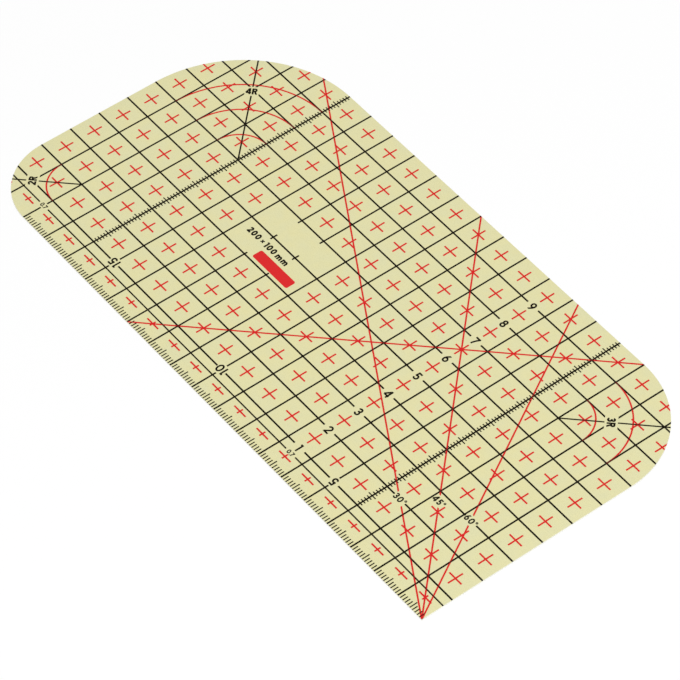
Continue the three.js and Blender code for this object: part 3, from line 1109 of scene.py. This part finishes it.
@dataclass
class Studio:
    """Camera, floor, world and lamps.

    The camera's lens and sensor are in millimetres. The floor's glow is the share of plain white in
    what is seen of the floor, and the rest is paper that takes the ruler's shadow.
    """

    camera_place: tuple[float, float, float] = (0.58559, -0.42335, 0.81263)
    camera_forward: tuple[float, float, float] = (-0.53264, 0.384928, -0.753741)
    camera_up: tuple[float, float, float] = (-0.588223, 0.471955, 0.656698)
    lens: float = 210.04
    sensor: float = 36.0
    floor_size: float = 30.0
    floor_gap: float = 0.02 * MM
    floor_glow: float = 0.7
    white: str = "#FFFFFF"
    world_light: float = 0.72
    softboxes: tuple[Softbox, ...] = (
        Softbox("key_softbox", (0.75, -0.3, 0.9), size=0.75, power=5.1),
        Softbox("fill_softbox", (-0.8, 0.9, 1.3), size=1.2, power=2.1),
    )

    def build(self) -> None:
        """Sets up everything around the ruler."""
        self._camera()
        self._floor()
        self._world()
        for softbox in self.softboxes:
            self._hang(softbox)

    def _camera(self) -> None:
        """Places the camera at the photograph's viewing angle."""
        camera = bpy.data.objects.new("camera", bpy.data.cameras.new("camera"))
        camera.data.sensor_width = self.sensor
        camera.data.lens = self.lens
        forward, up = Vector(self.camera_forward).normalized(), Vector(self.camera_up).normalized()
        turn = Matrix((forward.cross(up), up, -forward)).transposed().to_4x4()
        camera.matrix_world = Matrix.Translation(self.camera_place) @ turn
        bpy.context.scene.collection.objects.link(camera)
        bpy.context.scene.camera = camera

    def _seen(self, tree: bpy.types.NodeTree) -> bpy.types.NodeSocket:
        """Test whether the background is seen, straight on, mirrored or through glass.

        Args:
            tree: Tree that takes the nodes.

        Returns:
            1 where it is seen, and 0 where it only lights the ruler.
        """
        path = add_node(tree, "ShaderNodeLightPath").outputs
        seen = path["Is Camera Ray"]
        for other in ("Is Glossy Ray", "Is Transmission Ray"):
            seen = add_node(
                tree, "ShaderNodeMath", {"operation": "MAXIMUM"}, {0: seen, 1: path[other]}
            ).outputs[0]
        return seen

    def _floor(self) -> None:
        """Lays a white paper floor that shows white and keeps a soft shadow of the ruler."""
        half = self.floor_size / 2
        z = -self.floor_gap
        corners = np.array([[-half, -half, z], [half, -half, z], [half, half, z], [-half, half, z]])
        floor = Shell(corners, np.array([[0, 1, 2, 3]])).piece("floor")
        material, tree = new_material("studio_paper")
        paper = add_node(tree, "ShaderNodeBsdfDiffuse", inputs={"Color": linear(self.white)})
        light = add_node(tree, "ShaderNodeEmission", inputs={"Color": linear(self.white)})
        glow = add_node(
            tree,
            "ShaderNodeMath",
            {"operation": "MULTIPLY"},
            {0: self._seen(tree), 1: self.floor_glow},
        )
        mixed = add_node(
            tree,
            "ShaderNodeMixShader",
            inputs={0: glow.outputs[0], 1: paper.outputs[0], 2: light.outputs[0]},
        )
        add_node(tree, "ShaderNodeOutputMaterial", inputs={"Surface": mixed.outputs[0]})
        floor.data.materials.append(material)

    def _world(self) -> None:
        """Sets a white surround that lights the ruler at a plain level."""
        world = bpy.data.worlds.new("studio")
        world.use_nodes = True
        tree = world.node_tree
        tree.nodes.clear()
        strength = add_node(
            tree,
            "ShaderNodeMapRange",
            inputs={"Value": self._seen(tree), "To Min": self.world_light, "To Max": 1.0},
        )
        surround = add_node(
            tree,
            "ShaderNodeBackground",
            inputs={"Color": linear(self.white), "Strength": strength.outputs[0]},
        )
        add_node(tree, "ShaderNodeOutputWorld", inputs={"Surface": surround.outputs[0]})
        bpy.context.scene.world = world

    def _hang(self, softbox: Softbox) -> None:
        """Hangs a lamp so that it looks at the middle of the ruler.

        Args:
            softbox: The lamp.
        """
        light = bpy.data.lights.new(softbox.name, "AREA")
        light.size = softbox.size
        light.energy = softbox.power
        lamp = bpy.data.objects.new(softbox.name, light)
        lamp.location = softbox.place
        lamp.rotation_euler = Vector(softbox.place).to_track_quat("Z", "Y").to_euler()
        bpy.context.scene.collection.objects.link(lamp)


def main() -> None:
    """Builds the ruler's pieces in order and sets up the studio."""
    logging.basicConfig(level=logging.INFO, format="%(message)s")
    bpy.context.scene.view_settings.view_transform = "Standard"
    outline, rules = Outline(), BlackRules()
    black = BlackScreenInk().material()
    red = RedScreenInk(outline, rules).material()
    broad_red = RedScreenInk(
        outline, None, "red_screen_ink_broad", full_coat="#DF2028", thin_coat="#D8332F"
    ).material()
    DieCutSheet(outline).build()
    CellCrosses(outline).build(red)
    EdgeTicks(outline, rules).build(black)
    DecimalPoints().build(black)
    PrintedLines(black, red, broad_red).dress()
    Studio().build()


if __name__ == "__main__":
    main()
